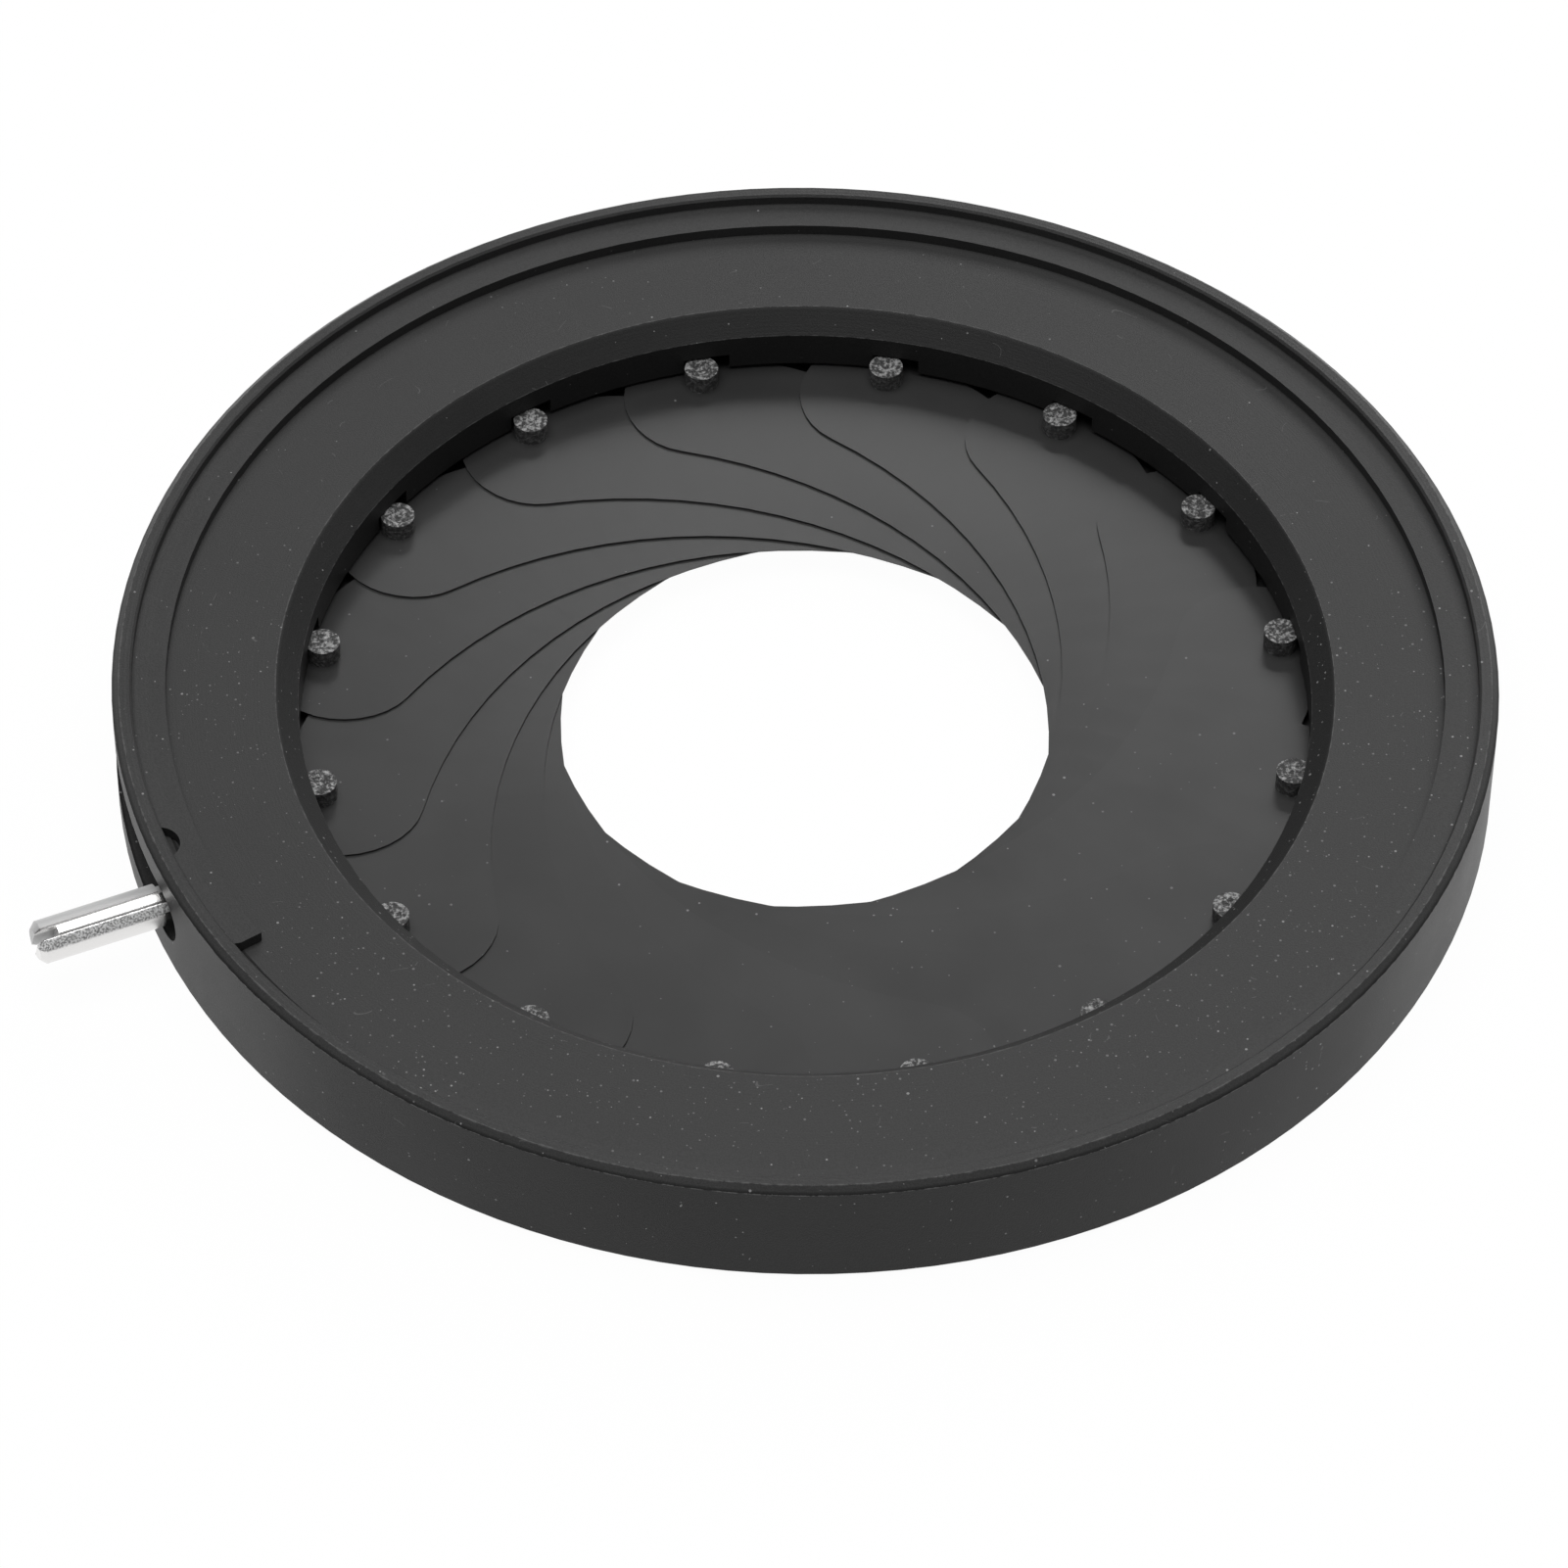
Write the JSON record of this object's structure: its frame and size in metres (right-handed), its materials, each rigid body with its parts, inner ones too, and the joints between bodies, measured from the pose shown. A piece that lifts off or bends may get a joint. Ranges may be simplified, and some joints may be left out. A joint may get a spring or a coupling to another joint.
{
  "type": "iris diaphragm",
  "caption": "Iris diaphragm: thin curved blades pivot in a flat round barrel, and a lever on the drive ring opens and closes them together.",
  "frame": {"origin": "centre of the barrel's rear face, on the optical axis", "axes": "+Z along the optical axis toward the front rim with the snap ring; the lever pin stands out to the -X -Y side at rest"},
  "size_m": [0.0993, 0.095, 0.0089],
  "materials": {
    "black_anodised": "matt black anodised",
    "black_spring_steel": "satin blackened spring steel",
    "blackened_blade_steel": "satin blackened",
    "blackened_pin_steel": "rough blackened, with bright specks",
    "bright_steel": "bright turned steel"
  },
  "bodies": {
    "barrel": {"barrel": "black_anodised", "snap_ring": "black_spring_steel"},
    "drive": {"drive_ring": "black_anodised", "lever_pin": "bright_steel"},
    "leaf_01": {"blade_01": "blackened_blade_steel", "guide_pin_01": "blackened_pin_steel", "pivot_pin_01": "blackened_pin_steel"},
    "leaf_02": {"blade_02": "blackened_blade_steel", "guide_pin_02": "blackened_pin_steel", "pivot_pin_02": "blackened_pin_steel"},
    "leaf_03": {"blade_03": "blackened_blade_steel", "guide_pin_03": "blackened_pin_steel", "pivot_pin_03": "blackened_pin_steel"},
    "leaf_04": {"blade_04": "blackened_blade_steel", "guide_pin_04": "blackened_pin_steel", "pivot_pin_04": "blackened_pin_steel"},
    "leaf_05": {"blade_05": "blackened_blade_steel", "guide_pin_05": "blackened_pin_steel", "pivot_pin_05": "blackened_pin_steel"},
    "leaf_06": {"blade_06": "blackened_blade_steel", "guide_pin_06": "blackened_pin_steel", "pivot_pin_06": "blackened_pin_steel"},
    "leaf_07": {"blade_07": "blackened_blade_steel", "guide_pin_07": "blackened_pin_steel", "pivot_pin_07": "blackened_pin_steel"},
    "leaf_08": {"blade_08": "blackened_blade_steel", "guide_pin_08": "blackened_pin_steel", "pivot_pin_08": "blackened_pin_steel"},
    "leaf_09": {"blade_09": "blackened_blade_steel", "guide_pin_09": "blackened_pin_steel", "pivot_pin_09": "blackened_pin_steel"},
    "leaf_10": {"blade_10": "blackened_blade_steel", "guide_pin_10": "blackened_pin_steel", "pivot_pin_10": "blackened_pin_steel"},
    "leaf_11": {"blade_11": "blackened_blade_steel", "guide_pin_11": "blackened_pin_steel", "pivot_pin_11": "blackened_pin_steel"},
    "leaf_12": {"blade_12": "blackened_blade_steel", "guide_pin_12": "blackened_pin_steel", "pivot_pin_12": "blackened_pin_steel"},
    "leaf_13": {"blade_13": "blackened_blade_steel", "guide_pin_13": "blackened_pin_steel", "pivot_pin_13": "blackened_pin_steel"},
    "leaf_14": {"blade_14": "blackened_blade_steel", "guide_pin_14": "blackened_pin_steel", "pivot_pin_14": "blackened_pin_steel"},
    "leaf_15": {"blade_15": "blackened_blade_steel", "guide_pin_15": "blackened_pin_steel", "pivot_pin_15": "blackened_pin_steel"},
    "leaf_16": {"blade_16": "blackened_blade_steel", "guide_pin_16": "blackened_pin_steel", "pivot_pin_16": "blackened_pin_steel"}
  },
  "joints": [
    {"name": "drive_ring_turn", "type": "hinge", "parent": "barrel", "child": "drive", "pos_m": [0, 0, 0.005], "axis": [0, 0, 1], "range_deg": [-47.7, 1]},
    {"name": "blade_01_pivot", "type": "hinge", "parent": "barrel", "child": "leaf_01", "pos_m": [-0.03992, -0.00936, 0.0012], "axis": [0, 0, 1], "range_deg": [-23.85, 0.5]},
    {"name": "blade_02_pivot", "type": "hinge", "parent": "barrel", "child": "leaf_02", "pos_m": [-0.0333, -0.02393, 0.0012], "axis": [0, 0, 1], "range_deg": [-23.85, 0.5]},
    {"name": "blade_03_pivot", "type": "hinge", "parent": "barrel", "child": "leaf_03", "pos_m": [-0.02161, -0.03485, 0.0012], "axis": [0, 0, 1], "range_deg": [-23.85, 0.5]},
    {"name": "blade_04_pivot", "type": "hinge", "parent": "barrel", "child": "leaf_04", "pos_m": [-0.00663, -0.04046, 0.0012], "axis": [0, 0, 1], "range_deg": [-23.85, 0.5]},
    {"name": "blade_05_pivot", "type": "hinge", "parent": "barrel", "child": "leaf_05", "pos_m": [0.00936, -0.03992, 0.0012], "axis": [0, 0, 1], "range_deg": [-23.85, 0.5]},
    {"name": "blade_06_pivot", "type": "hinge", "parent": "barrel", "child": "leaf_06", "pos_m": [0.02393, -0.0333, 0.0012], "axis": [0, 0, 1], "range_deg": [-23.85, 0.5]},
    {"name": "blade_07_pivot", "type": "hinge", "parent": "barrel", "child": "leaf_07", "pos_m": [0.03485, -0.02161, 0.0012], "axis": [0, 0, 1], "range_deg": [-23.85, 0.5]},
    {"name": "blade_08_pivot", "type": "hinge", "parent": "barrel", "child": "leaf_08", "pos_m": [0.04046, -0.00663, 0.0012], "axis": [0, 0, 1], "range_deg": [-23.85, 0.5]},
    {"name": "blade_09_pivot", "type": "hinge", "parent": "barrel", "child": "leaf_09", "pos_m": [0.03992, 0.00936, 0.0012], "axis": [0, 0, 1], "range_deg": [-23.85, 0.5]},
    {"name": "blade_10_pivot", "type": "hinge", "parent": "barrel", "child": "leaf_10", "pos_m": [0.0333, 0.02393, 0.0012], "axis": [0, 0, 1], "range_deg": [-23.85, 0.5]},
    {"name": "blade_11_pivot", "type": "hinge", "parent": "barrel", "child": "leaf_11", "pos_m": [0.02161, 0.03485, 0.0012], "axis": [0, 0, 1], "range_deg": [-23.85, 0.5]},
    {"name": "blade_12_pivot", "type": "hinge", "parent": "barrel", "child": "leaf_12", "pos_m": [0.00663, 0.04046, 0.0012], "axis": [0, 0, 1], "range_deg": [-23.85, 0.5]},
    {"name": "blade_13_pivot", "type": "hinge", "parent": "barrel", "child": "leaf_13", "pos_m": [-0.00936, 0.03992, 0.0012], "axis": [0, 0, 1], "range_deg": [-23.85, 0.5]},
    {"name": "blade_14_pivot", "type": "hinge", "parent": "barrel", "child": "leaf_14", "pos_m": [-0.02393, 0.0333, 0.0012], "axis": [0, 0, 1], "range_deg": [-23.85, 0.5]},
    {"name": "blade_15_pivot", "type": "hinge", "parent": "barrel", "child": "leaf_15", "pos_m": [-0.03485, 0.02161, 0.0012], "axis": [0, 0, 1], "range_deg": [-23.85, 0.5]},
    {"name": "blade_16_pivot", "type": "hinge", "parent": "barrel", "child": "leaf_16", "pos_m": [-0.04046, 0.00663, 0.0012], "axis": [0, 0, 1], "range_deg": [-23.85, 0.5]}
  ],
  "couplings": [
    {"joint": "blade_01_pivot", "follows": "drive_ring_turn", "ratio": 0.5},
    {"joint": "blade_02_pivot", "follows": "drive_ring_turn", "ratio": 0.5},
    {"joint": "blade_03_pivot", "follows": "drive_ring_turn", "ratio": 0.5},
    {"joint": "blade_04_pivot", "follows": "drive_ring_turn", "ratio": 0.5},
    {"joint": "blade_05_pivot", "follows": "drive_ring_turn", "ratio": 0.5},
    {"joint": "blade_06_pivot", "follows": "drive_ring_turn", "ratio": 0.5},
    {"joint": "blade_07_pivot", "follows": "drive_ring_turn", "ratio": 0.5},
    {"joint": "blade_08_pivot", "follows": "drive_ring_turn", "ratio": 0.5},
    {"joint": "blade_09_pivot", "follows": "drive_ring_turn", "ratio": 0.5},
    {"joint": "blade_10_pivot", "follows": "drive_ring_turn", "ratio": 0.5},
    {"joint": "blade_11_pivot", "follows": "drive_ring_turn", "ratio": 0.5},
    {"joint": "blade_12_pivot", "follows": "drive_ring_turn", "ratio": 0.5},
    {"joint": "blade_13_pivot", "follows": "drive_ring_turn", "ratio": 0.5},
    {"joint": "blade_14_pivot", "follows": "drive_ring_turn", "ratio": 0.5},
    {"joint": "blade_15_pivot", "follows": "drive_ring_turn", "ratio": 0.5},
    {"joint": "blade_16_pivot", "follows": "drive_ring_turn", "ratio": 0.5}
  ]
}
